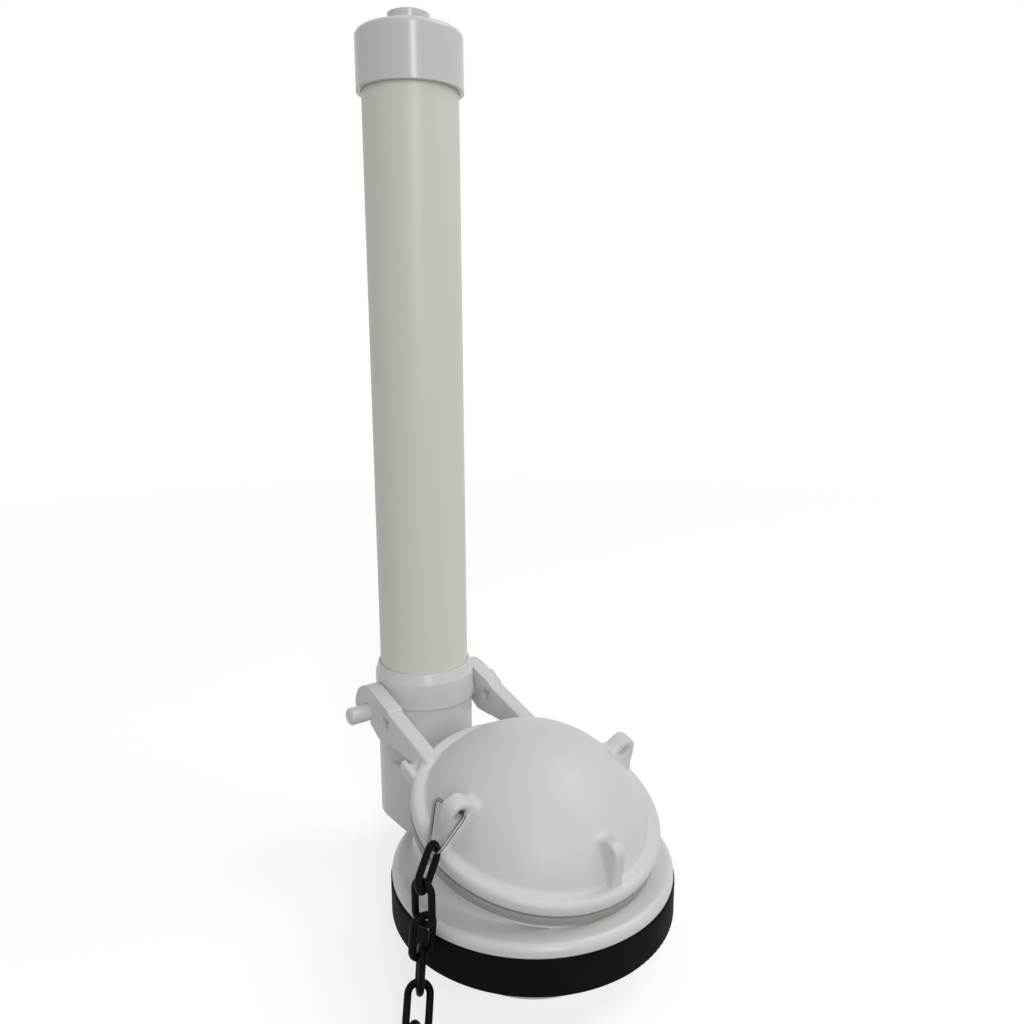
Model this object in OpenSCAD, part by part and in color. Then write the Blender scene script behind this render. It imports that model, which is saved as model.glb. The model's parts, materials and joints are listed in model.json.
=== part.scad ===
// Flapper flush valve for a toilet tank, on a short threaded shank, with its lift chain laid beside it.
// The shank's axis is Z, the overflow tube stands at +Y and z = 0 is the shank's lower end.

/* [Tank shank] */
// Outside diameter of the shank that goes through the tank floor
shank_d = 54; // [50:0.5:56]
// Wall of the shank
shank_wall = 2.8; // [2:0.1:4]
// Length of the shank below the tank gasket
shank_reach = 13; // [11:0.5:40]
// Bevel on the shank's lower end
shank_bevel = 1; // [0.5:0.1:2]
// Height of the shank's thread above its root, which is what the free end shows
thread_depth = 0.5; // [0.3:0.05:0.8]

/* [Lock nut] */
// Wall of the lock nut's body
nut_wall = 4.25; // [3:0.05:6]
// Height of the lock nut
nut_h = 6; // [4:0.5:8]
// How far each grip lug of the nut stands out
nut_lug = 1.6; // [1:0.1:2.5]
// Width of a grip lug
nut_lug_w = 7; // [4:0.5:9]
// Number of grip lugs
nut_lugs = 10; // [6:1:14]

/* [Tank gasket] */
// Outside diameter of the tank gasket
gasket_d = 81; // [76:0.5:83]
// Height of the tank gasket
gasket_h = 10.8; // [7:0.2:14]
// Rounding of the gasket's outer edges
gasket_edge = 0.8; // [0.4:0.1:1.5]

/* [Flange and seat] */
// How far the flange's edge lies inside the gasket's edge
flange_in = 0.4; // [0.2:0.1:1]
// Thickness of the flange
flange_t = 3.2; // [2.6:0.1:5]
// Rounding of the flange's upper edge
flange_edge = 2; // [1:0.1:2.4]
// Slope of the flapper's seat, lower at the front
seat_tilt = 16.9; // [14:0.1:18]
// Outside diameter of the seat riser
seat_d = 66; // [64:0.2:67]
// Wall of the seat riser
seat_wall = 3.2; // [2.5:0.1:4]
// Outside diameter of the seat's lip
seat_lip_d = 69; // [68:0.2:70]
// Height of the seat's lip
seat_lip_h = 1.4; // [1:0.1:2.2]
// Floor left in the flange around the outlet
seat_floor = 1.6; // [1.2:0.1:2.4]

/* [Overflow tube] */
// Outside diameter of the overflow tube
tube_d = 28.5; // [27.5:0.1:28.8]
// Wall of the overflow tube
tube_wall = 1.6; // [1.2:0.1:2.5]
// Distance from the outlet's axis back to the tube's axis
tube_offset = 57.7; // [57:0.1:62]
// Height of the tube's top end
tube_top = 255.7; // [180:0.1:320]

/* [Tube socket] */
// Outside diameter of the socket's lower part
hub_d = 31; // [30.6:0.1:31.6]
// Outside diameter of the collar round the socket's mouth
collar_d = 32; // [31.2:0.1:32.4]
// Height of the socket's underside
hub_z = 17.2; // [15:0.2:20]
// Height of the socket's mouth
hub_top = 68.7; // [65:0.1:72]
// Height of the collar with its bevel
collar_h = 11.7; // [8:0.1:12]
// Height of the bevel at the socket's mouth
collar_bevel = 3.4; // [2:0.1:5]
// Depth of the tube in the socket
socket_depth = 19.7; // [14:0.1:24]
// Floor under the overflow passage
hub_floor = 2.6; // [2:0.1:4]
// Height of the overflow passage
duct_h = 10.2; // [8:0.1:14]
// Width of the overflow passage
duct_w = 22; // [16:0.5:24]

/* [Overflow cap] */
// Outside diameter of the cap
cap_d = 31.4; // [31:0.1:34]
// Height of the cap
cap_h = 16.2; // [12:0.1:28]
// Thickness of the cap's top
cap_top = 3; // [2:0.1:4]
// Rounding of the cap's upper edge
cap_edge = 1.8; // [0.8:0.1:2.2]
// Diameter of the refill inlet on the cap
inlet_d = 12.3; // [9:0.1:14]
// Height of the refill inlet above the cap
inlet_h = 4.8; // [1.5:0.1:6]
// Bore of the refill inlet
inlet_bore = 6.5; // [4.5:0.1:7.5]
// Outside diameter of the ring of overflow slots
slot_ring_d = 23; // [21:0.1:24]
// Number of overflow slots
slot_count = 4; // [3:1:6]
// Width of the bars between the slots
slot_bar = 4; // [2.5:0.1:5]

/* [Flapper] */
// Height of the flapper's rim above the flange, at the rim's middle
rim_rise = 14.2; // [13.4:0.1:16]
// How far the rim's middle lies in front of the outlet's axis
rim_ahead = 1.56; // [0.5:0.02:3]
// Outside diameter of the rim bead
rim_d = 71.3; // [70.6:0.1:74]
// Width of the rim bead
rim_w = 4.4; // [3.8:0.1:5.5]
// Height of the rim bead
rim_h = 4.4; // [3.8:0.1:5]
// Rounding of the rim bead
rim_edge = 1.7; // [1:0.1:1.8]
// Radius of the dome's sphere
dome_r = 35.64; // [34.5:0.02:38]
// Height of the dome's top above the rim's middle
dome_h = 22.7; // [20:0.1:25]
// Wall of the dome
dome_wall = 2; // [1.5:0.1:2.8]
// Thickness of the lugs on the dome
lug_t = 4.8; // [4:0.1:6]
// Radius of a lug's rounded top
lug_r = 3.8; // [3.2:0.1:4.6]
// Distance of the lug's hole from the dome's axis
lug_out = 29.2; // [28:0.1:29.8]
// Height of the lug's hole above the rim's middle
lug_up = 12.6; // [11:0.1:14]
// Diameter of the lug's hole
lug_hole = 3.4; // [2.8:0.1:4]
// Thickness of the grip fin at the dome's front
fin_t = 3.8; // [3:0.1:5]
// Radius of the fin's rounded top
fin_r = 3; // [2.4:0.1:4]
// Distance from the dome's axis to the middle of the fin's rounding
fin_out = 29.5; // [28:0.1:30]
// Height of the middle of the fin's rounding above the rim's middle
fin_up = 12; // [10:0.1:13]

/* [Hinge arms] */
// Height of the hinge pins
pivot_z = 55.5; // [54:0.1:56.5]
// Diameter of the hinge pins
pin_d = 5.5; // [4.5:0.1:6]
// Distance from the middle to the tip of a pin
pin_tip = 28; // [25:0.1:32]
// Bevel on the pin's tip
pin_bevel = 0.5; // [0.3:0.1:0.8]
// Diameter of the flat boss round a pin's root
boss_d = 11; // [8:0.1:12]
// Radial clearance of the hooks on the pins
pin_clear = 0.09; // [0.03:0.01:0.1]
// Thickness of an arm
arm_t = 4.9; // [3.5:0.1:5.5]
// Side clearance between an arm and the boss
arm_gap = 0.3; // [0.2:0.05:0.6]
// Outside radius of the hook round the pin
hook_r = 8.4; // [7:0.1:9]
// How far the hook's limbs reach below the pin's middle
limb_drop = 2.9; // [2.4:0.1:4]
// Share of the pin's diameter that the hook's mouth leaves open
mouth_share = 0.86; // [0.8:0.01:0.95]
// Height of the arm's upper edge above the rim's middle
arm_top = 4.2; // [3:0.1:5]
// Height of the arm's lower edge at the dome, above the rim's middle
arm_foot = -1; // [-1.2:0.1:0]
// Width of the window through an arm
window_w = 3.6; // [2.5:0.1:4.5]
// Height of the window through an arm
window_h = 4; // [2.5:0.1:5]
// Half width of the yoke behind the rim
yoke_half = 27; // [25:0.1:28]
// Length of the yoke from the rim's middle
yoke_back = 31; // [29:0.1:33]
// Thickness of the yoke's plate
yoke_t = 1.8; // [1.2:0.1:2.4]
// Width of the rib along each side of the yoke
yoke_rib = 1.9; // [1.2:0.1:2.5]

/* [Seal and float base] */
// Outside diameter of the seal
seal_d = 68.4; // [67:0.1:70]
// Thickness of the seal
seal_t = 2.8; // [2:0.1:3]
// Gap left between the seal and the seat's lip
seal_gap = 0.15; // [0.1:0.01:0.3]
// Diameter of the neck that holds the seal
neck_d = 44; // [38:0.5:46]
// Outside diameter of the flange below the seal
base_d = 51; // [49:0.5:54]
// Thickness of the plates of the float base
base_t = 1.8; // [1.2:0.1:2.4]
// Clearance between the flapper's own pieces
piece_clear = 0.12; // [0.08:0.01:0.2]

/* [Lift chain] */
// Number of links in the chain
link_count = 16; // [8:1:26]
// Outside length of a link
link_l = 13.6; // [12.8:0.1:15]
// Outside width of a link
link_w = 7.5; // [7.2:0.1:8.2]
// Thickness of a link's wire
link_wire = 1.9; // [1.6:0.05:2]
// Play between hooked links
link_play = 0.35; // [0.25:0.01:0.4]
// Thickness of the steel ring's wire
ring_wire = 1; // [0.8:0.05:1.2]
// Length of the steel ring from its bar to its tip
ring_l = 11.8; // [11:0.1:14]
// Play between the ring's front leg and the lug
ring_play = 0.4; // [0.3:0.05:0.8]
// How much further the ring's bar reaches behind the lug
ring_skew = 3.7; // [3.2:0.1:4.4]
// Radius of the ring's tip
ring_tip_r = 2.2; // [1.9:0.1:2.4]
// Radius of the ring's upper corners
ring_corner_r = 0.9; // [0.7:0.1:1.2]
// Distance from the tank gasket to the hanging chain's middle line
drop_gap = 3.85; // [3.5:0.05:8]
// Least distance from the flapper's bead out to the hanging chain's middle line
bead_gap = 8.7; // [8.6:0.1:12]

/* [Hidden] */
fine = 96;
slim = 40;
over = 1;
gasket_z = shank_reach;
flange_z = gasket_z + gasket_h;
flange_top = flange_z + flange_t;
thread_clear = 0.25;
shank_r = shank_d / 2;
root_r = shank_r - thread_depth;
nut_r = shank_r + thread_clear + nut_wall;
thread_z = gasket_z - nut_h - thread_clear;
outlet_r = shank_r - shank_wall;
seat_r = seat_d / 2;
// Height of the rim's middle, and of the seat's lip in the tilted frame
rim_z = flange_top + rim_rise;
bead_low = -1.2;
seal_top = bead_low - piece_clear;
seal_low = seal_top - seal_t;
lip_top = seal_low - seal_gap;
// Tube and its socket
tube_r = tube_d / 2;
socket_clear = 0.1;
socket_r = tube_r + socket_clear;
tube_foot = hub_top - socket_depth;
hub_bore_r = tube_r - tube_wall;
cap_clear = 0.1;
cap_z = tube_top + cap_top - cap_h;
// Hinge pins in the tilted frame of the rim
back = tube_offset + rim_ahead;
rise = pivot_z - rim_z;
pivot_v = back * cos(seat_tilt) + rise * sin(seat_tilt);
pivot_w = rise * cos(seat_tilt) - back * sin(seat_tilt);
boss_face = collar_d / 2 + 0.2;
arm_in = boss_face + arm_gap;
dome_mid = dome_h - dome_r;
dome_in = dome_r - dome_wall;
rim_r = rim_d / 2;
mouth_r = rim_r - rim_w;
// Chain: middle lines of the wires
link_arc = (link_w - link_wire) / 2;
link_side = link_l - link_w;
link_reach = link_l - link_wire;
hook_step = link_wire + link_play;
ring_step = (link_wire + ring_wire) / 2 + link_play;
ring_front = lug_t / 2 + ring_wire / 2 + ring_play;
ring_back = ring_front + ring_skew;
// Lean of the ring and of the first link from straight down, spread until the chain clears gasket and bead
ring_fall = 46.3;
link_fall = 57;
ring_fall_l = ring_l - ring_step;
link_fall_l = link_reach - hook_step;
fall_out = ring_fall_l * sin(ring_fall) + link_fall_l * sin(link_fall);
fall_down = ring_fall_l * cos(ring_fall) + link_fall_l * cos(link_fall);
drop_r = max(gasket_d / 2 + drop_gap, rim_r + bead_gap);
fall_share = (drop_r - lug_out) / norm([fall_out, fall_down]);
spread = asin(min(1, fall_share)) - atan2(fall_out, fall_down);
ring_lean = ring_fall + spread;
// Headings on the floor, counted anticlockwise from +X
ring_heading = 188.75;
hang_heading = [214, 233, 143, 143];
lay_heading = 233;
lay_turn = 9;
// Lean of each hanging link from straight down, and its turn about its own length
hang_lean = [link_fall + spread, 0, 4.4, 4.4, 54, 75.5, 85.7];
hang_spin = [-5, 53, 34, 100, 92, -20, 64, -34, 47];
hang_count = 6;
lever_spin = 68;
bend_swell = 0.06;

// Places children in the frame of the flapper's rim, which leans with the seat
module on_seat() {
    translate([0, -rim_ahead, rim_z]) rotate([seat_tilt, 0, 0]) children();
}

// Places children on the overflow tube's axis
module on_tube() {
    translate([0, tube_offset, 0]) children();
}

// Rectangle from the origin with its corners rounded by r
module soft_rect(w, h, r) {
    translate([r, 0]) square([w - 2 * r, h]);
    translate([0, r]) square([w, h - 2 * r]);
    for (x = [r, w - r], y = [r, h - r]) translate([x, y]) circle(r, $fn = slim);
}

// Solid of everything above a height
module above(z) {
    translate([-200, -200, z]) cube(400);
}

// Shank

module shank() {
    cylinder(r1 = root_r - shank_bevel, r2 = root_r, h = shank_bevel, $fn = fine);
    translate([0, 0, shank_bevel]) cylinder(r = root_r, h = thread_z - shank_bevel, $fn = fine);
    translate([0, 0, thread_z - thread_depth]) cylinder(r1 = root_r, r2 = shank_r, h = thread_depth, $fn = fine);
    translate([0, 0, thread_z]) cylinder(r = shank_r, h = flange_z - thread_z + flange_t / 2, $fn = fine);
}

module flange() {
    r = gasket_d / 2 - flange_in;
    translate([0, 0, flange_z]) rotate_extrude($fn = fine) {
        square([r - flange_edge, flange_t]);
        square([r, flange_t - flange_edge]);
        translate([r - flange_edge, flange_t - flange_edge]) intersection() {
            circle(flange_edge, $fn = slim);
            square(flange_edge);
        }
    }
}

// Leaning riser that carries the seat's lip, cut off level inside the flange
module seat_riser() {
    tall = rim_rise + flange_t + seat_d;
    intersection() {
        on_seat() {
            translate([0, 0, lip_top - tall]) cylinder(r = seat_r, h = tall, $fn = fine);
            translate([0, 0, lip_top - seat_lip_h]) cylinder(d = seat_lip_d, h = seat_lip_h, $fn = fine);
        }
        above(flange_z + flange_t / 4);
    }
}

// Box with a round back that carries overflow water from the tube to the outlet
module overflow_box() {
    top = flange_z + seat_floor + duct_h + hub_floor;
    front = gasket_d / 2 - hub_d / 2;
    translate([-hub_d / 2, front, hub_z]) cube([hub_d, tube_offset - front, top - hub_z]);
    on_tube() {
        translate([0, 0, hub_z]) cylinder(d = hub_d, h = hub_top - collar_h - hub_z, $fn = fine);
        translate([0, 0, hub_top - collar_h]) cylinder(d = collar_d, h = collar_h - collar_bevel, $fn = fine);
        translate([0, 0, hub_top - collar_bevel])
            cylinder(d1 = collar_d, r2 = socket_r + 0.7, h = collar_bevel, $fn = fine);
    }
}

module hinge_pins() {
    translate([0, tube_offset, pivot_z]) for (s = [-1, 1]) rotate([0, s * 90, 0]) {
        translate([0, 0, tube_r]) cylinder(d = boss_d, h = boss_face - tube_r, $fn = slim);
        translate([0, 0, tube_r]) cylinder(d = pin_d, h = pin_tip - pin_bevel - tube_r, $fn = slim);
        translate([0, 0, pin_tip - pin_bevel])
            cylinder(d1 = pin_d, d2 = pin_d - 2 * pin_bevel, h = pin_bevel, $fn = slim);
    }
}

// Outlet through the shank, the leaning chamber under the seat and the overflow passage
module waterway() {
    translate([0, 0, -over]) cylinder(r = outlet_r, h = flange_top + over, $fn = fine);
    intersection() {
        on_seat() translate([0, 0, -2 * seat_d]) cylinder(r = seat_r - seat_wall, h = 2 * seat_d, $fn = fine);
        above(flange_z + seat_floor);
    }
    translate([-duct_w / 2, 0, flange_z + seat_floor]) cube([duct_w, tube_offset, duct_h]);
    on_tube() {
        translate([0, 0, hub_z + hub_floor]) cylinder(r = hub_bore_r, h = hub_top, $fn = fine);
        translate([0, 0, tube_foot]) cylinder(r = socket_r, h = hub_top, $fn = fine);
    }
}

module valve_body() {
    gasket_room = 0.6;
    color("#e6e4e9") difference() {
        union() {
            shank();
            flange();
            seat_riser();
            difference() {
                overflow_box();
                cylinder(r = gasket_d / 2 + gasket_room, h = flange_z, $fn = fine);
                cylinder(r = seat_r - seat_wall, h = rim_z, $fn = fine);
            }
            hinge_pins();
        }
        waterway();
    }
}

module tank_gasket() {
    hole = shank_r + thread_clear;
    color("#141517") translate([0, 0, gasket_z]) rotate_extrude($fn = fine)
        translate([hole, 0]) soft_rect(gasket_d / 2 - hole, gasket_h, gasket_edge);
}

module lock_nut() {
    color("#dedde2") translate([0, 0, gasket_z - nut_h]) difference() {
        union() {
            cylinder(r = nut_r, h = nut_h, $fn = fine);
            for (i = [0:nut_lugs - 1]) rotate(i * 360 / nut_lugs)
                translate([shank_r + nut_lug, -nut_lug_w / 2, 0])
                    cube([nut_r - shank_r, nut_lug_w, nut_h]);
        }
        translate([0, 0, -over]) cylinder(r = shank_r + thread_clear, h = nut_h + 2 * over, $fn = fine);
    }
}

// Overflow tube and its cap

module overflow_tube() {
    color("#dcdccb") on_tube() translate([0, 0, tube_foot]) difference() {
        cylinder(r = tube_r, h = tube_top - tube_foot, $fn = fine);
        translate([0, 0, -over]) cylinder(r = tube_r - tube_wall, h = tube_top - tube_foot + 2 * over, $fn = fine);
    }
}

// Ring of overflow slots through the cap's top, parted by bars
module overflow_slots() {
    difference() {
        cylinder(d = slot_ring_d, h = cap_h, $fn = fine);
        translate([0, 0, -over]) cylinder(d = inlet_d + slot_bar / 2, h = cap_h + 2 * over, $fn = fine);
        for (i = [0:slot_count - 1]) rotate((i + 0.5) * 360 / slot_count)
            translate([0, -slot_bar / 2, -over]) cube([cap_d, slot_bar, cap_h + 2 * over]);
    }
}

module overflow_cap() {
    r = cap_d / 2;
    color("#e4e4e4") on_tube() translate([0, 0, cap_z]) difference() {
        union() {
            rotate_extrude($fn = fine) {
                square([r - cap_edge, cap_h]);
                square([r, cap_h - cap_edge]);
                translate([r - cap_edge, cap_h - cap_edge]) circle(cap_edge, $fn = slim);
            }
            cylinder(d = inlet_d, h = cap_h + inlet_h, $fn = fine);
        }
        translate([0, 0, -over]) cylinder(r = tube_r + cap_clear, h = cap_h - cap_top + over, $fn = fine);
        translate([0, 0, -over]) cylinder(d = inlet_bore, h = cap_h + inlet_h + 2 * over, $fn = fine);
        translate([0, 0, cap_h / 2]) overflow_slots();
    }
}

// Flapper

// Upright plate with a round top, rooted in the dome and the rim bead
module lug(t, r, out, up, hole) {
    rotate([90, 0, 0]) translate([0, 0, -t / 2]) linear_extrude(t) difference() {
        union() {
            translate([out, up]) circle(r, $fn = fine);
            polygon([
                [out - 2.2 * r, up - 0.2 * r],
                [out - 0.6 * r, up + 0.8 * r],
                [out + r, up],
                [rim_r - rim_edge, rim_h / 2],
                [mouth_r, rim_h / 2],
                [mouth_r - dome_wall, up / 2]
            ]);
        }
        if (hole > 0) translate([out, up]) circle(d = hole, $fn = slim);
    }
}

// Side outline of an arm: dome end on the left, hook round the pin on the right
module arm_outline() {
    root = mouth_r - 3 * dome_wall;
    heel = sqrt(pow(seal_d / 2 + piece_clear, 2) - pow(arm_in, 2));
    hook_top = pivot_w + hook_r;
    step_v = pivot_v - 1.35 * hook_r;
    ramp = abs(hook_top - arm_top);
    difference() {
        union() {
            translate([pivot_v, pivot_w]) intersection() {
                circle(hook_r, $fn = fine);
                translate([-hook_r, -limb_drop]) square([2 * hook_r, hook_r + limb_drop]);
            }
            polygon([
                [heel, arm_foot],
                [root, arm_foot],
                [root, arm_top],
                [step_v - ramp, arm_top],
                [step_v, hook_top],
                [pivot_v, hook_top],
                [pivot_v - pin_d / 2, pivot_w - limb_drop],
                [pivot_v - hook_r, pivot_w - hook_r * 0.5]
            ]);
        }
        translate([pivot_v, pivot_w]) circle(d = pin_d + 2 * pin_clear, $fn = fine);
        translate([pivot_v - pin_d * mouth_share / 2, pivot_w - 2 * hook_r])
            square([pin_d * mouth_share, 2 * hook_r]);
        translate([step_v + ramp - window_w / 2, pivot_w + hook_r * 0.4 - window_h / 2])
            square([window_w, window_h]);
    }
}

module arms() {
    for (s = [0, 1]) mirror([s, 0, 0]) translate([arm_in, 0, 0])
        rotate([90, 0, 90]) linear_extrude(arm_t) arm_outline();
}

// Flat plate behind the rim, with a rib along each side
module yoke() {
    start = mouth_r / 2;
    translate([-yoke_half, start, bead_low]) cube([2 * yoke_half, yoke_back - start, yoke_t]);
    for (s = [0, 1]) mirror([s, 0, 0])
        translate([yoke_half - yoke_rib, start, bead_low]) cube([yoke_rib, yoke_back - start, rim_h - 0.6]);
}

module flapper_shell() {
    color("#e3e3e0") on_seat() difference() {
        union() {
            intersection() {
                translate([0, 0, dome_mid]) sphere(dome_r, $fn = fine);
                translate([0, 0, bead_low]) cylinder(r = rim_r - rim_edge, h = 2 * dome_r, $fn = fine);
            }
            rotate_extrude($fn = fine) translate([mouth_r, bead_low]) soft_rect(rim_w, rim_h, rim_edge);
            for (turn = [0, 180]) rotate(turn) lug(lug_t, lug_r, lug_out, lug_up, lug_hole);
            rotate(-90) lug(fin_t, fin_r, fin_out, fin_up, 0);
            yoke();
            arms();
        }
        intersection() {
            translate([0, 0, dome_mid]) sphere(dome_in, $fn = fine);
            translate([0, 0, bead_low]) cylinder(r = rim_r, h = 2 * dome_r, $fn = fine);
        }
        translate([0, 0, bead_low - over]) cylinder(r = mouth_r - dome_wall, h = base_t + over, $fn = fine);
    }
}

module flapper_seal() {
    hole = neck_d / 2 + piece_clear;
    color("#aab0a6") on_seat() translate([0, 0, seal_low]) rotate_extrude($fn = fine)
        translate([hole, 0]) soft_rect(seal_d / 2 - hole, seal_t, seal_t / 4);
}

// Plate that closes the dome, with a neck through the seal and a flange that holds the seal up
module float_base() {
    low = seal_low - piece_clear - base_t;
    color("#d6d7d2") on_seat() {
        translate([0, 0, bead_low]) cylinder(r = mouth_r - dome_wall - piece_clear, h = base_t, $fn = fine);
        translate([0, 0, low]) cylinder(d = neck_d, h = bead_low - low + base_t / 2, $fn = fine);
        translate([0, 0, low]) cylinder(d = base_d, h = base_t, $fn = fine);
    }
}

// Chain

// Round wire between two points
module wire(p, q, d) {
    run = q - p;
    flat = norm([run.x, run.y]);
    translate(p) rotate([0, atan2(flat, run.z), atan2(run.y, run.x)]) cylinder(d = d, h = norm(run), $fn = slim);
}

// Straight part of a bent wire, a little swollen where the bends begin
module bent_wire(p, q, d) {
    short = (q - p) / norm(q - p) * d / 8;
    wire(p + short, q - short, d);
    for (end = [p, q]) translate(end) sphere(d = d + bend_swell, $fn = slim);
}

// Round wire along an arc in the XZ plane, from angle a to angle b
module wire_arc(mid, r, a, b, d) {
    translate([mid.x, 0, mid.y]) rotate([90, 0, 0]) rotate(a)
        rotate_extrude(angle = b - a, $fn = slim) translate([r, 0]) circle(d = d, $fn = slim);
}

// One closed link, hanging along Z with its middle at the origin
module link() {
    half = link_side / 2;
    wire_arc([0, half], link_arc, 0, 180, link_wire);
    wire_arc([0, -half], link_arc, 180, 360, link_wire);
    for (s = [-1, 1]) wire([s * link_arc, 0, -half], [s * link_arc, 0, half], link_wire);
}

// Lean of the leg that runs from a corner of the ring to its tip
function leg_lean(corner, tip) =
    atan2(corner.y - tip.y, corner.x - tip.x) - 90 + asin((ring_tip_r - ring_corner_r) / norm(corner - tip));

// Corner and leg at one end of the ring's bar
module ring_side(corner, tip) {
    lean = leg_lean(corner, tip);
    edge = [cos(lean), sin(lean)];
    leg_top = corner + ring_corner_r * edge;
    leg_low = tip + ring_tip_r * edge;
    wire_arc(corner, ring_corner_r, lean, 90, ring_wire);
    bent_wire([leg_low.x, 0, leg_low.y], [leg_top.x, 0, leg_top.y], ring_wire);
}

// Closed wire ring: a bar through the lug, a short front leg at -X, a long back leg and a round tip below.
// The origin is where the bar's middle line crosses the lug's middle
module wire_ring() {
    tip = [0, ring_tip_r - ring_l];
    front = [ring_front - ring_corner_r, -ring_corner_r];
    back = [ring_back - ring_corner_r, -ring_corner_r];
    bent_wire([-front.x, 0, 0], [back.x, 0, 0], ring_wire);
    wire_arc(tip, ring_tip_r, -180 - leg_lean(front, tip), leg_lean(back, tip), ring_wire);
    ring_side(back, tip);
    mirror([1, 0, 0]) ring_side(front, tip);
}

// Direction of a piece of chain that leans from straight down towards a heading
function along(lean, heading) = [sin(lean) * cos(heading), sin(lean) * sin(heading), -cos(lean)];

function last(list) = list[len(list) - 1];
function lean_of(i) = i <= len(hang_lean) ? hang_lean[i - 1] : 90;
function spin_of(i) = i <= len(hang_spin) ? hang_spin[i - 1] : (i % 2 == 0 ? -45 : 45);
function heading_of(i) =
    i <= len(hang_heading) ? hang_heading[i - 1] : lay_heading + max(0, i - hang_count) * lay_turn;
function run_of(i) = along(lean_of(i), heading_of(i));

// A link that bends within its neighbour's plane hangs along the neighbour, and otherwise along itself
function hangs_along_parent(i) = i == 2 || (i > 2 && i % 2 == 1);

// Ring: it leaves the lug's hole outwards and down, with its bar turned along the hole
lug_mid = [-lug_out, -rim_ahead - lug_up * sin(seat_tilt), rim_z + lug_up * cos(seat_tilt)];
ring_spin = atan2(
    cos(ring_heading) * cos(seat_tilt),
    cos(ring_lean) * sin(ring_heading) * cos(seat_tilt) + sin(ring_lean) * sin(seat_tilt)
);
ring_run = along(ring_lean, ring_heading);
ring_end = lug_mid + ring_l * ring_run;

// Upper and lower ends of each link's middle line, link after link
function link_top(i) =
    i == 1 ? ring_end - ring_step * ring_run
    : link_low(i - 1) - hook_step * run_of(hangs_along_parent(i) ? i - 1 : i);
function link_low(i) = link_top(i) + link_reach * run_of(i);

module laid(lean, heading, spin) {
    rotate([0, 0, heading]) rotate([0, -lean, 0]) rotate([0, 0, spin]) children();
}

module chain_link(i) {
    color("#161719") translate((link_top(i) + link_low(i)) / 2)
        laid(lean_of(i), heading_of(i), spin_of(i)) link();
}

module flapper_ring() {
    color("#b9bcc0") translate(lug_mid) laid(ring_lean, ring_heading, ring_spin) wire_ring();
}

// Ring at the chain's far end, for the flush lever; its narrow end hangs on the last link
module lever_ring() {
    turn = heading_of(link_count + 1);
    hook = link_low(link_count) - ring_step * along(90, turn);
    color("#b9bcc0") translate(hook + ring_l * along(90, turn))
        laid(90, turn, lever_spin) rotate([0, 180, 0]) wire_ring();
}

valve_body();
tank_gasket();
lock_nut();
overflow_tube();
overflow_cap();
flapper_shell();
flapper_seal();
float_base();
flapper_ring();
for (i = [1:link_count]) chain_link(i);
lever_ring();
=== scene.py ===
"""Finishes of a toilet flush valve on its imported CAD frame.

The frame gives every solid. This file gives the solids their materials, adds the thread on the free
end of the tank shank, puts an eased skin in place of the flapper's shell and a pressed lip in place
of its seal, and sets up the floor, the lamps and the camera.
"""

import json
import math

import bmesh
import bpy
from mathutils import Matrix, Vector


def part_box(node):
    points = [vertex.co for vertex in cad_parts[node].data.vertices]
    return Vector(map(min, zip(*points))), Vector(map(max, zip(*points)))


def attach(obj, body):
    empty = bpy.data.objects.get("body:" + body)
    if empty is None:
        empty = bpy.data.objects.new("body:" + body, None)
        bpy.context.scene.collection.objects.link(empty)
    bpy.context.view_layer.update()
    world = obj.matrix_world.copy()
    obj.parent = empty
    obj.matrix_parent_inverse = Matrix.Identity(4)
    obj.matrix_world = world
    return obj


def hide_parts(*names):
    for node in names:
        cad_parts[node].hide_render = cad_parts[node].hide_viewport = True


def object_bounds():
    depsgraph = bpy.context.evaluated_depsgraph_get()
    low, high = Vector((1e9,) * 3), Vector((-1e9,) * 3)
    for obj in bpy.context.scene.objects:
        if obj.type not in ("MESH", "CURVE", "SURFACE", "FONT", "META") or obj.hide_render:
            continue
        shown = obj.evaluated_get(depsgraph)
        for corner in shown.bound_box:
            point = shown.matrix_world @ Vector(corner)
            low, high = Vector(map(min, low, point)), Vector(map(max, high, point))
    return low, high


bl_info = {
    "name": "Flush Valve Finish",
    "version": (1, 0, 0),
    "blender": (4, 5, 0),
    "location": "View3D > Sidebar > Flush Valve",
    "description": "Finishes, thread and studio for a toilet flush valve",
    "category": "Object",
}

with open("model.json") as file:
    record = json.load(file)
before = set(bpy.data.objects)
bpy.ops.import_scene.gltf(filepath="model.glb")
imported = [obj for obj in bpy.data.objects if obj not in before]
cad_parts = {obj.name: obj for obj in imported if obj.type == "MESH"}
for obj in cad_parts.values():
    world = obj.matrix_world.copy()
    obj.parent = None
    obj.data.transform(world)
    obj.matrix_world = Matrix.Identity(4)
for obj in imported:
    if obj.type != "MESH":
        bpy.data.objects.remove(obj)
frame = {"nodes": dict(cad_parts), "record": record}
CAD_LOW, CAD_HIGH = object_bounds()
NODES = frame["nodes"]
MM = 0.001

# Refraction of the materials. The steel keeps Blender's default.
ABS_IOR = 1.54
PVC_IOR = 1.53
NYLON_IOR = 1.53
SILICONE_IOR = 1.41
RUBBER_IOR = 1.5
STEEL_IOR = 1.5
# Skin that throws back little of the white surroundings, and skin that throws back some.
DULL = {"Specular IOR Level": 0.06}
SOFT_GLOSS = {"Specular IOR Level": 0.35}
# Radius by which the edges of thin wire and links are shaded round.
WIRE_EDGE = 0.1 * MM

# The part of the noise's range that a flow mark uses, and what it does to the roughness.
FLOW_LOW, FLOW_HIGH = 0.15, 0.85
ROUGH_LOW, ROUGH_HIGH = 0.85, 1.15
# Depth of an uneven skin as a share of its width.
SKIN_DEPTH = 0.2
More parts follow.
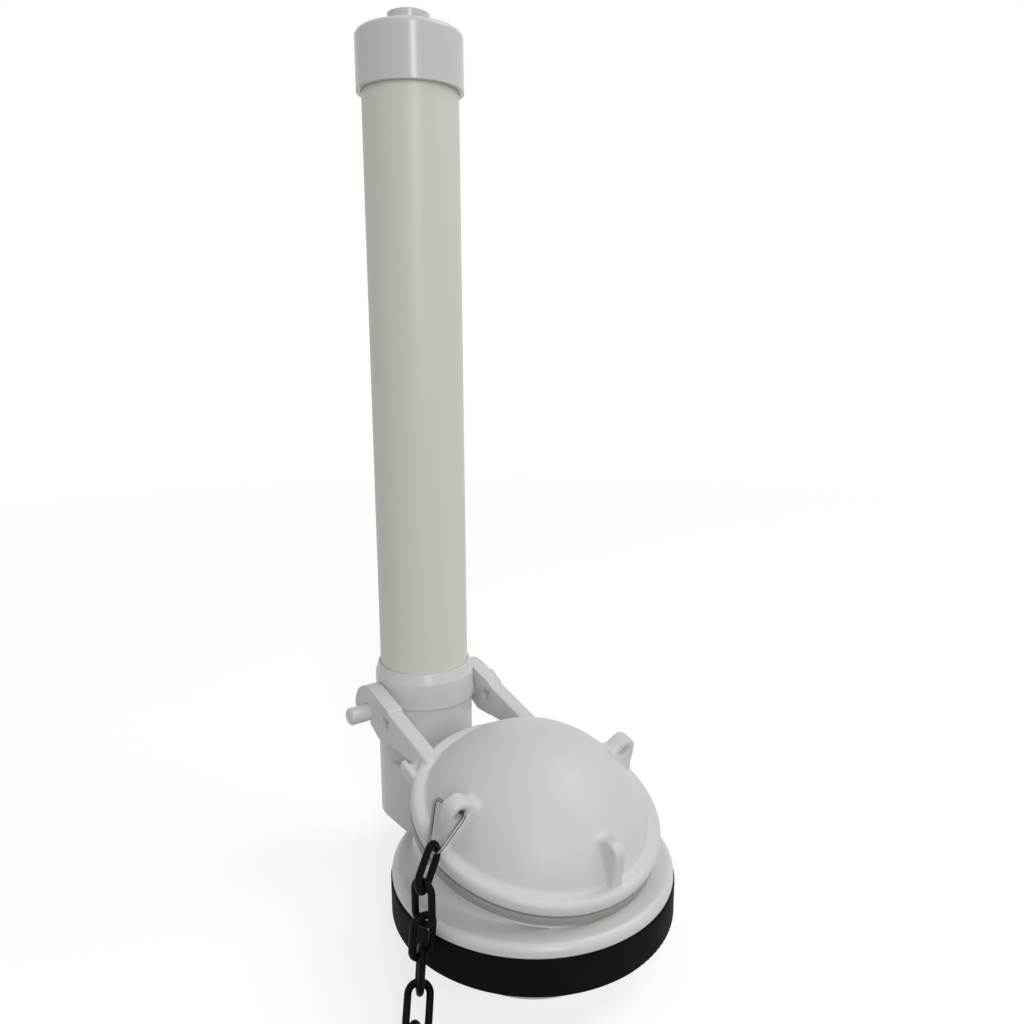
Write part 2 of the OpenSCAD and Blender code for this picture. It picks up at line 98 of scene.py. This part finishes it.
# Finer layers in the noise of the flow marks and of the skin, and rays that look for an edge.
FLOW_DETAIL, SKIN_DETAIL = 1.0, 2.0
EDGE_SAMPLES = 8
# Distance between the points that may hold a speck, and the draw above which one stays bare.
SPECK_CELL = 11 * MM
SPECK_BARE = 0.45
# Core and outer edge of a speck as shares of that distance, and its tone.
SPECK_CORE, SPECK_EDGE = 0.015, 0.035
SPECK_TONE = 0.8

# Copies of a CAD node: points this close are one, and edges that turn by more stay sharp.
MERGE_REACH = 0.001 * MM
CRISP_ANGLE = math.radians(30)
# How far one pass of easing draws a point towards its neighbours.
EASE_SHARE = 0.5
# Behind this the flapper is arms alone, with a step on top that hides the cut.
ARM_START = 43.9 * MM
# Places, in millimetres, where the flapper's moulding runs out soft, each with its reach and with
# how often it is eased.
SOFT_PLACES = [
    # The two lugs and the fin, from the dome to the bead.
    ((-29.2, -5.2, 52.5), 8.0, 5),
    ((29.2, -5.2, 52.5), 8.0, 5),
    ((0, -33.0, 43.0), 7.5, 5),
    # Their inner ends on the dome.
    ((-23.7, -5.5, 54.2), 4.2, 8),
    ((23.7, -5.5, 54.2), 4.2, 8),
    ((0, -29.0, 46.0), 3.6, 10),
    # The yoke's corner on the right.
    ((26, 27.3, 52.7), 2.6, 60),
]
# Tilt of the seat and the seal on it, and the width of the band that is the seal's outer wall.
SEAT_TILT = math.radians(16.9)
SEAL_WALL = 0.4 * MM

# Thread: the shank's root under it, how deep its foot sits in the shank, and how far it stays from
# the shank's end and from the nut.
SHANK = next(
    mount["dims"] for mount in frame["record"]["mounts"] if mount["name"] == "tank_shank"
)
SHANK_RADIUS = SHANK["r_mm"] * MM
THREAD_SINK = 0.15 * MM
THREAD_LEAD_IN = 1.4 * MM
THREAD_RUN_OUT = 0.8 * MM
# Start and end of its crest and the end of its foot, as shares of the pitch. Steps in a turn, and
# the fewest in all.
CREST_START, CREST_END, FOOT_END = 0.18, 0.32, 0.5
TURN_STEPS = 96
LEAST_STEPS = 8

# Lamps: width and height, place and the point that both face, in metres.
SIDE_LAMP = {"size": (0.8, 0.8), "place": (0.634, -0.354, 1.165)}
FRONT_LAMP = {"size": (0.2, 0.9), "place": (-0.457, -1.054, 0.649)}
LAMP_TARGET = (0, 0.03, 0.1)
# Floor: half its width in metres, its distance below the valve and the colour of its paper.
FLOOR_HALF = 6
FLOOR_GAP = 0.05 * MM
FLOOR_TINT = "#bdbdbd"
# Light that the paper gives where it is seen, and from where to where it runs out to white, in
# metres.
FLOOR_LIFT = 0.7
FADE_START, FADE_END = 0.3, 0.9
# Camera: sensor width in millimetres and nearest distance in metres.
SENSOR_WIDTH = 36
NEAR_CLIP = 0.01
WHITE = (1, 1, 1, 1)


def linear(code):
    """Scene-linear RGBA of an sRGB colour written as #rrggbb."""
    channels = [int(code[i : i + 2], 16) / 255 for i in (1, 3, 5)]
    return [c / 12.92 if c <= 0.04045 else ((c + 0.055) / 1.055) ** 2.4 for c in channels] + [1.0]


def colour(name, text, code):
    """A colour property with its default written in sRGB."""
    return bpy.props.FloatVectorProperty(
        name=name, description=text, subtype="COLOR", size=4, min=0, max=1, default=linear(code)
    )


def length(name, text, default_mm, low_mm, high_mm):
    """A length property with its default and its limits written in millimetres."""
    return bpy.props.FloatProperty(
        name=name,
        description=text,
        default=default_mm * MM,
        min=low_mm * MM,
        max=high_mm * MM,
        subtype="DISTANCE",
        unit="LENGTH",
        precision=5,
    )


def angle(name, text, degrees):
    """An angle property with its default written in degrees."""
    return bpy.props.FloatProperty(
        name=name, description=text, default=math.radians(degrees), subtype="ANGLE", unit="ROTATION"
    )


def power(name, text, watts):
    """A power property of a lamp."""
    return bpy.props.FloatProperty(
        name=name, description=text, default=watts, min=0, subtype="POWER", unit="POWER"
    )


class FlushFinish(bpy.types.PropertyGroup):
    """Colours and finishes of the valve's materials."""

    body: colour("Body", "Moulded plastic of the valve body and its lock nut", "#e4e2e2")
    tube: colour("Tube", "Extruded plastic of the overflow tube", "#e6e7da")
    cap: colour("Cap", "Moulded plastic of the overflow cap", "#dcdddb")
    flapper: colour("Flapper", "Moulded plastic of the flapper", "#e4e3e1")
    seal: colour("Seal", "Silicone of the flapper's seal", "#a4a59f")
    rubber: colour("Rubber", "Sponge rubber of the tank gasket", "#0d0d0e")
    chain: colour("Chain", "Plastic of the chain links", "#0b0b0c")
    # The steel colour is a painted dark reflection: it is darker than real stainless, standing in
    # for the dark surroundings that the wire reflects.
    steel_with_painted_reflection: colour("Steel", "Drawn wire of the two rings", "#7e7c78")
    edge: length("Edge Rounding", "Radius by which moulded edges are shaded round", 0.4, 0, 1)
    skin_grain: length(
        "Skin Grain", "Distance between the points of the flapper's skin", 0.46, 0.44, 1
    )
    seal_press: length(
        "Seal Press", "How far the seal's outer wall is pressed out under the rim", 1.2, 0, 1.3
    )
    skin_passes: bpy.props.IntProperty(
        name="Skin Passes",
        description="How often the whole of the flapper's skin is eased",
        default=1,
        min=1,
        max=10,
    )


class FlushThread(bpy.types.PropertyGroup):
    """Sizes of the thread on the tank shank."""

    pitch: length("Pitch", "Height of one turn of the thread", 2.2, 1.5, 3)
    depth: length("Depth", "How far the thread stands out from its root", 0.5, 0.3, 0.7)


class FlushStage(bpy.types.PropertyGroup):
    """Camera and lamps."""

    eye: bpy.props.FloatVectorProperty(
        name="Eye",
        description="Place of the camera",
        default=(-0.14078, -0.17770, 0.17248),
        subtype="TRANSLATION",
        unit="LENGTH",
        size=3,
    )
    heading: angle("Heading", "Turn of the camera to the right of +Y", 37)
    pitch: angle("Pitch", "Tilt of the camera below the horizon", 11.32)
    roll: angle("Roll", "Turn of the camera about its own axis", -0.21)
    lens: bpy.props.FloatProperty(
        name="Lens",
        description="Focal length in millimetres on a 36 mm sensor",
        default=30.56,
        min=10,
        max=200,
    )
    side: power("Side", "Power of the soft lamp high on the right", 4.8)
    front: power("Front", "Power of the tall lamp in front", 4.6)
    sky: bpy.props.FloatProperty(
        name="Sky", description="Strength of the light from all round", default=0.34, min=0
    )


def add(tree, kind, sockets=None, **settings):
    """Adds a node, with its settings, and sets or links its input sockets."""
    node = tree.nodes.new(kind)
    for name, value in settings.items():
        setattr(node, name, value)
    for name, value in (sockets or {}).items():
        if isinstance(value, bpy.types.NodeSocket):
            tree.links.new(value, node.inputs[name])
        else:
            node.inputs[name].default_value = value
    return node


def empty_material(name):
    """A new material with an empty node tree."""
    material = bpy.data.materials.new(name)
    material.use_nodes = True
    material.node_tree.nodes.clear()
    return material


def surface_of(
    name,
    tint,
    *,
    ior,
    rough,
    edge,
    flow_mm,
    skin_mm,
    tone=0.02,
    skin=0.05,
    stretch=1,
    specks=False,
    **sockets,
):
    """Material whose tone and gloss drift over flow_mm, with an uneven skin of skin_mm.

    The drift is drawn out along Z by stretch, as in an extruded tube. Edges are shaded round.
    """
    material = empty_material(name)
    tree = material.node_tree
    place = add(tree, "ShaderNodeTexCoord").outputs["Object"]
    spread = {"Vector": place, "Scale": (1, 1, 1 / stretch)}
    drawn = add(tree, "ShaderNodeMapping", spread).outputs["Vector"]
    marks = {"Vector": drawn, "Scale": 1 / (flow_mm * MM), "Detail": FLOW_DETAIL}
    flow = add(tree, "ShaderNodeTexNoise", marks).outputs["Fac"]
    drift = {"Value": flow, "From Min": FLOW_LOW, "From Max": FLOW_HIGH}
    tones = {**drift, "To Min": 1 - tone, "To Max": 1 + tone}
    level = add(tree, "ShaderNodeMapRange", tones, clamp=False).outputs["Result"]
    glosses = {**drift, "To Min": ROUGH_LOW * rough, "To Max": ROUGH_HIGH * rough}
    gloss = add(tree, "ShaderNodeMapRange", glosses, clamp=False).outputs["Result"]
    if specks:
        level = speckled(tree, place, level)
    shade = add(tree, "ShaderNodeHueSaturation", {"Value": level, "Color": tint}).outputs["Color"]
    waves = {"Vector": place, "Scale": 1 / (skin_mm * MM), "Detail": SKIN_DETAIL}
    grain = add(tree, "ShaderNodeTexNoise", waves).outputs["Fac"]
    bevel = add(tree, "ShaderNodeBevel", {"Radius": edge}, samples=EDGE_SAMPLES)
    relief = {"Strength": skin, "Distance": SKIN_DEPTH * skin_mm * MM, "Height": grain}
    bump = add(tree, "ShaderNodeBump", {**relief, "Normal": bevel.outputs["Normal"]})
    look = {"Base Color": shade, "Roughness": gloss, "IOR": ior, **sockets}
    look["Normal"] = bump.outputs["Normal"]
    shader = add(tree, "ShaderNodeBsdfPrincipled", look)
    add(tree, "ShaderNodeOutputMaterial", {"Surface": shader.outputs["BSDF"]})
    return material


def speckled(tree, place, level):
    """The tone level with a few darker specks of half a millimetre, some centimetres apart."""
    cells = add(tree, "ShaderNodeTexVoronoi", {"Vector": place, "Scale": 1 / SPECK_CELL})
    spot = {"Value": cells.outputs["Distance"], "From Min": SPECK_CORE, "From Max": SPECK_EDGE}
    speck = add(tree, "ShaderNodeMapRange", {**spot, "To Min": SPECK_TONE, "To Max": 1.0})
    draw = {0: cells.outputs["Color"], 1: SPECK_BARE}
    bare = add(tree, "ShaderNodeMath", draw, operation="GREATER_THAN")
    either = {0: speck.outputs["Result"], 1: bare.outputs["Value"]}
    kept = add(tree, "ShaderNodeMath", either, operation="MAXIMUM")
    both = {0: level, 1: kept.outputs["Value"]}
    return add(tree, "ShaderNodeMath", both, operation="MULTIPLY").outputs["Value"]


def finish_nodes(material, slot, *names):
    """Gives CAD nodes a material; the record's slot is not used."""
    for name in names:
        node = NODES[name]
        node.data.materials.clear()
        node.data.materials.append(material)


def new_piece(name, mesh):
    """Object of a bmesh, in the scene, at the origin."""
    data = bpy.data.meshes.new(name)
    mesh.to_mesh(data)
    mesh.free()
    piece = bpy.data.objects.new(name, data)
    bpy.context.scene.collection.objects.link(piece)
    return piece


def merged(node):
    """Bmesh copy of a CAD node with its loose triangles joined."""
    mesh = bmesh.new()
    mesh.from_mesh(NODES[node].data)
    bmesh.ops.remove_doubles(mesh, verts=mesh.verts, dist=MERGE_REACH)
    return mesh


def ease(mesh, verts, passes):
    """Draws vertices towards their neighbours, as often as passes says."""
    axes = {"use_axis_x": True, "use_axis_y": True, "use_axis_z": True}
    for _ in range(passes):
        bmesh.ops.smooth_vert(mesh, verts=verts, factor=EASE_SHARE, **axes)


def cut_across(mesh, **side):
    """Cuts a bmesh at ARM_START, clears one side and closes the cut."""
    geom = [*mesh.verts, *mesh.edges, *mesh.faces]
    plane = {"plane_co": (0, ARM_START, 0), "plane_no": (0, 1, 0)}
    cut = bmesh.ops.bisect_plane(mesh, geom=geom, **plane, **side)
    rim = [item for item in cut["geom_cut"] if isinstance(item, bmesh.types.BMEdge)]
    bmesh.ops.holes_fill(mesh, edges=rim, sides=0)


def shade_smooth(mesh, crisp_edges):
    """Shades a bmesh smooth, and keeps its sharp edges sharp where crisp_edges is true."""
    for face in mesh.faces:
        face.smooth = True
    if crisp_edges:
        for edge in mesh.edges:
            edge.smooth = edge.calc_face_angle(math.pi) < CRISP_ANGLE


def eased_flapper(name, look):
    """Copy of the flapper's shell whose lugs run into the dome, with arms as crisp as the CAD's."""
    piece = new_piece(name, merged("flapper_shell"))
    even = piece.modifiers.new("even_mesh", "REMESH")
    even.mode = "VOXEL"
    even.voxel_size = look.skin_grain
    dome = bmesh.new()
    dome.from_object(piece, bpy.context.evaluated_depsgraph_get())
    piece.modifiers.remove(even)
    ease(dome, dome.verts, look.skin_passes)
    for place, reach, passes in SOFT_PLACES:
        middle = Vector(place) * MM
        near = [vert for vert in dome.verts if (vert.co - middle).length < reach * MM]
        ease(dome, near, passes)
    cut_across(dome, clear_outer=True)
    shade_smooth(dome, crisp_edges=False)
    arms = merged("flapper_shell")
    cut_across(arms, clear_inner=True)
    shade_smooth(arms, crisp_edges=True)
    # The arms pass through the piece's own mesh to join the dome.
    arms.to_mesh(piece.data)
    arms.free()
    dome.from_mesh(piece.data)
    dome.to_mesh(piece.data)
    dome.free()
    return piece


def pressed_seal(name, press):
    """Copy of the flapper's seal whose soft outer wall is pressed out under the rim."""
    low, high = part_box("flapper_seal")
    seat = Matrix.Translation((low + high) / 2) @ Matrix.Rotation(SEAT_TILT, 4, "X")
    flat = seat.inverted()
    mesh = merged("flapper_seal")
    radius = max((flat @ vert.co).xy.length for vert in mesh.verts)
    wall = [vert for vert in mesh.verts if (flat @ vert.co).xy.length > radius - SEAL_WALL]
    wider = 1 + press / radius
    bmesh.ops.scale(mesh, vec=(wider, wider, 1), space=flat, verts=wall)
    shade_smooth(mesh, crisp_edges=True)
    return new_piece(name, mesh)


class FLUSH_OT_body(bpy.types.Operator):
    """Finish the valve body, the lock nut and the tank gasket"""

    bl_idname = "flush.body"
    bl_label = "Finish Body"

    def execute(self, context):
        look = context.scene.flush_finish
        # White ABS from a polished mould: a soft gloss, slow flow marks and edges that are never
        # quite sharp.
        abs_white = surface_of(
            "moulded_abs",
            look.body,
            ior=ABS_IOR,
            rough=0.3,
            edge=look.edge,
            flow_mm=18,
            skin_mm=4,
        )
        finish_nodes(abs_white, "body_plastic", "valve_body")
        # The same ABS from a plainer mould, so the nut is duller.
        abs_nut = surface_of(
            "moulded_abs_nut",
            look.body,
            ior=ABS_IOR,
            rough=0.42,
            edge=look.edge,
            flow_mm=12,
            skin_mm=2,
        )
        finish_nodes(abs_nut, "nut_plastic", "lock_nut")
        # Black sponge rubber with a cut skin: almost no gloss, and pores drawn coarser than real
        # ones so they show.
        sponge = surface_of(
            "sponge_rubber",
            look.rubber,
            ior=RUBBER_IOR,
            rough=0.7,
            edge=look.edge,
            flow_mm=6,
            skin_mm=0.9,
            tone=0.25,
            skin=0.3,
            **DULL,
        )
        finish_nodes(sponge, "gasket_rubber", "tank_gasket")
        return {"FINISHED"}


class FLUSH_OT_tube(bpy.types.Operator):
    """Finish the overflow tube and its cap"""

    bl_idname = "flush.tube"
    bl_label = "Finish Tube"

    def execute(self, context):
        look = context.scene.flush_finish
        # Cream PVC drawn through a die: faint lines along the tube and a few dark specks of burnt
        # plastic.
        pvc = surface_of(
            "extruded_pvc",
            look.tube,
            ior=PVC_IOR,
            rough=0.38,
            edge=look.edge,
            flow_mm=3,
            skin_mm=5,
            tone=0.012,
            skin=0.03,
            stretch=40,
            specks=True,
        )
        finish_nodes(pvc, "tube_plastic", "overflow_tube")
        # Pale grey PVC from a mould polished along its draw: a clear streak of light down the
        # skirt.
        pvc_cap = surface_of(
            "moulded_pvc",
            look.cap,
            ior=PVC_IOR,
            rough=0.2,
            edge=look.edge,
            flow_mm=4,
            skin_mm=6,
            skin=0.02,
            stretch=8,
        )
        finish_nodes(pvc_cap, "cap_plastic", "overflow_cap")
        return {"FINISHED"}


class FLUSH_OT_flapper(bpy.types.Operator):
    """Finish the flapper's shell, its seal and its float base"""

    bl_idname = "flush.flapper"
    bl_label = "Finish Flapper"

    def execute(self, context):
        look = context.scene.flush_finish
        # Pale ABS moulded thin over the dome: a wide soft gloss over slow waves, with lugs that run
        # into the dome.
        shell = surface_of(
            "moulded_abs_dome",
            look.flapper,
            ior=ABS_IOR,
            rough=0.4,
            edge=look.edge,
            flow_mm=24,
            skin_mm=11,
            **SOFT_GLOSS,
        )
        finish_nodes(shell, "flapper_plastic", "flapper_shell")
        skin = eased_flapper("flapper_skin", look)
        skin.data.materials.append(shell)
        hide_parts("flapper_shell")
        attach(skin, "flapper")
        # Grey-green silicone: soft, a little waxy, with a fine matt skin.
        silicone = surface_of(
            "moulded_silicone",
            look.seal,
            ior=SILICONE_IOR,
            rough=0.42,
            edge=look.edge,
            flow_mm=8,
            skin_mm=1.5,
            tone=0.04,
        )
        finish_nodes(silicone, "seal_rubber", "flapper_seal")
        lip = pressed_seal("seal_lip", look.seal_press)
        lip.data.materials.append(silicone)
        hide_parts("flapper_seal")
        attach(lip, "flapper")
        # The dome's own ABS from a matt mould, on the underside of the float.
        base = surface_of(
            "moulded_abs_float",
            look.flapper,
            ior=ABS_IOR,
            rough=0.45,
            edge=look.edge,
            flow_mm=12,
            skin_mm=3,
        )
        finish_nodes(base, "base_plastic", "float_base")
        return {"FINISHED"}


class FLUSH_OT_chain(bpy.types.Operator):
    """Finish the chain links and the two wire rings"""

    bl_idname = "flush.chain"
    bl_label = "Finish Chain"

    def execute(self, context):
        look = context.scene.flush_finish
        links = [name for name in NODES if name.startswith("chain_link_")]
        # Black nylon bent from round rod: near black with a dull sheen along the wire.
        nylon = surface_of(
            "black_nylon",
            look.chain,
            ior=NYLON_IOR,
            rough=0.45,
            edge=WIRE_EDGE,
            flow_mm=3,
            skin_mm=0.8,
            tone=0.15,
            skin=0.1,
            **DULL,
        )
        finish_nodes(nylon, "chain_plastic", *links)
        # Stainless wire drawn through a die, with fine scratches that blur its reflections. Its
        # colour is made much darker than bright steel as a painted dark reflection, standing in for
        # dark surroundings, since the sky it reflects is white.
        wire = surface_of(
            "drawn_stainless_painted_reflection",
            look.steel_with_painted_reflection,
            ior=STEEL_IOR,
            rough=0.22,
            edge=WIRE_EDGE,
            flow_mm=2,
            skin_mm=0.4,
            tone=0.06,
            skin=0.08,
            Metallic=1.0,
        )
        finish_nodes(wire, "ring_steel", "flapper_ring", "lever_ring")
        return {"FINISHED"}


class FLUSH_OT_thread(bpy.types.Operator):
    """Add the thread on the free end of the tank shank"""

    bl_idname = "flush.thread"
    bl_label = "Add Thread"

    def execute(self, context):
        sizes = context.scene.flush_thread
        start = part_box("valve_body")[0].z + THREAD_LEAD_IN
        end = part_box("lock_nut")[0].z - THREAD_RUN_OUT
        turns = (end - start - FOOT_END * sizes.pitch) / sizes.pitch
        root = SHANK_RADIUS - THREAD_SINK
        crest = SHANK_RADIUS + sizes.depth
        profile = [(root, 0), (crest, CREST_START), (crest, CREST_END), (root, FOOT_END)]
        mesh = bmesh.new()
        face = mesh.faces.new(
            [mesh.verts.new((x, 0, start + share * sizes.pitch)) for x, share in profile]
        )
        steps = max(LEAST_STEPS, round(turns * TURN_STEPS))
        bmesh.ops.spin(
            mesh,
            geom=[face, *face.edges, *face.verts],
            cent=(0, 0, 0),
            axis=(0, 0, 1),
            dvec=(0, 0, turns * sizes.pitch / steps),
            angle=turns * math.tau,
            steps=steps,
            use_merge=False,
            use_duplicate=False,
        )
        bmesh.ops.recalc_face_normals(mesh, faces=mesh.faces)
        thread = new_piece("shank_thread", mesh)
        thread.data.materials.append(bpy.data.materials["moulded_abs"])
        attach(thread, "valve")
        return {"FINISHED"}


def lamp(name, watts, size, place):
    """Soft lamp of a width and a height that faces the valve."""
    data = bpy.data.lights.new(name, "AREA")
    data.shape = "RECTANGLE"
    data.energy = watts
    data.size, data.size_y = size
    item = bpy.data.objects.new(name, data)
    item.location = place
    facing = Vector(LAMP_TARGET) - Vector(place)
    item.rotation_euler = facing.to_track_quat("-Z", "Y").to_euler()
    bpy.context.scene.collection.objects.link(item)


def seen_white(tree):
    """1 for rays from the camera, from mirrors and through glass, else 0."""
    rays = add(tree, "ShaderNodeLightPath").outputs
    seen = rays["Is Camera Ray"]
    for other in ("Is Glossy Ray", "Is Transmission Ray"):
        either = add(tree, "ShaderNodeMath", {0: seen, 1: rays[other]}, operation="MAXIMUM")
        seen = either.outputs["Value"]
    return seen


class FLUSH_OT_stage(bpy.types.Operator):
    """Add the floor, the lamps, the sky and the camera"""

    bl_idname = "flush.stage"
    bl_label = "Add Stage"

    def execute(self, context):
        scene = context.scene
        setup = scene.flush_stage
        scene.view_settings.view_transform = "Standard"
        self.add_floor()
        self.add_sky(scene, setup)
        lamp("side_lamp", setup.side, **SIDE_LAMP)
        lamp("front_lamp", setup.front, **FRONT_LAMP)
        self.add_camera(scene, setup)
        return {"FINISHED"}

    def add_camera(self, scene, setup):
        """Camera at the place and the turn that the stage's settings give."""
        data = bpy.data.cameras.new("photo_camera")
        data.sensor_width = SENSOR_WIDTH
        data.lens = setup.lens
        data.clip_start = NEAR_CLIP
        eye = bpy.data.objects.new("photo_camera", data)
        turn = Matrix.Rotation(-setup.heading, 4, "Z")
        tilt = Matrix.Rotation(math.pi / 2 - setup.pitch, 4, "X")
        roll = Matrix.Rotation(setup.roll, 4, "Z")
        eye.matrix_world = Matrix.Translation(setup.eye) @ turn @ tilt @ roll
        scene.collection.objects.link(eye)
        scene.camera = eye

    def add_floor(self):
        """Pale paper that keeps the valve's shadow and runs out to white."""
        mesh = bmesh.new()
        bmesh.ops.create_grid(mesh, x_segments=1, y_segments=1, size=FLOOR_HALF)
        floor = new_piece("floor", mesh)
        floor.location.z = CAD_LOW.z - FLOOR_GAP
        material = empty_material("floor_paper")
        tree = material.node_tree
        seen = seen_white(tree)
        paper = add(tree, "ShaderNodeBsdfDiffuse", {"Color": linear(FLOOR_TINT)}).outputs["BSDF"]
        lift = add(tree, "ShaderNodeMath", {0: seen, 1: FLOOR_LIFT}, operation="MULTIPLY")
        glow = add(tree, "ShaderNodeEmission", {"Strength": lift.outputs["Value"]})
        near = add(tree, "ShaderNodeAddShader", {0: paper, 1: glow.outputs["Emission"]})
        place = add(tree, "ShaderNodeTexCoord").outputs["Object"]
        reach = add(tree, "ShaderNodeVectorMath", {0: place}, operation="LENGTH").outputs["Value"]
        fade = {"Value": reach, "From Min": FADE_START, "From Max": FADE_END}
        away = add(tree, "ShaderNodeMapRange", fade).outputs["Result"]
        share = add(tree, "ShaderNodeMath", {0: away, 1: seen}, operation="MULTIPLY")
        far = add(tree, "ShaderNodeEmission", {"Strength": 1.0})
        both = {0: share.outputs["Value"], 1: near.outputs["Shader"], 2: far.outputs["Emission"]}
        ground = add(tree, "ShaderNodeMixShader", both).outputs["Shader"]
        add(tree, "ShaderNodeOutputMaterial", {"Surface": ground})
        floor.data.materials.append(material)

    def add_sky(self, scene, setup):
        """Even light from all round, seen as white."""
        sky = bpy.data.worlds.new("sky")
        sky.use_nodes = True
        tree = sky.node_tree
        tree.nodes.clear()
        levels = {"Value": seen_white(tree), "To Min": setup.sky, "To Max": 1.0}
        level = add(tree, "ShaderNodeMapRange", levels).outputs["Result"]
        light = add(tree, "ShaderNodeBackground", {"Color": WHITE, "Strength": level})
        add(tree, "ShaderNodeOutputWorld", {"Surface": light.outputs["Background"]})
        scene.world = sky


class FLUSH_PT_sidebar(bpy.types.Panel):
    """Sizes, colours and operators of the flush valve"""

    bl_idname = "FLUSH_PT_sidebar"
    bl_label = "Flush Valve"
    bl_space_type = "VIEW_3D"
    bl_region_type = "UI"
    bl_category = "Flush Valve"

    def draw(self, context):
        column = self.layout.column()
        for group in GROUPS:
            settings = getattr(context.scene, group)
            for name in settings.bl_rna.properties.keys():
                if name not in {"rna_type", "name"}:
                    column.prop(settings, name)
        for operator in OPERATORS:
            column.operator(operator.bl_idname)


GROUPS = {"flush_finish": FlushFinish, "flush_thread": FlushThread, "flush_stage": FlushStage}
OPERATORS = [
    FLUSH_OT_body,
    FLUSH_OT_tube,
    FLUSH_OT_flapper,
    FLUSH_OT_chain,
    FLUSH_OT_thread,
    FLUSH_OT_stage,
]
CLASSES = [*GROUPS.values(), *OPERATORS, FLUSH_PT_sidebar]


def register():
    for item in CLASSES:
        bpy.utils.register_class(item)
    for name, item in GROUPS.items():
        setattr(bpy.types.Scene, name, bpy.props.PointerProperty(type=item))


def unregister():
    for name in GROUPS:
        delattr(bpy.types.Scene, name)
    for item in reversed(CLASSES):
        bpy.utils.unregister_class(item)


def main():
    register()
    bpy.ops.flush.body()
    bpy.ops.flush.tube()
    bpy.ops.flush.flapper()
    bpy.ops.flush.chain()
    bpy.ops.flush.thread()
    bpy.ops.flush.stage()


if __name__ == "__main__":
    main()
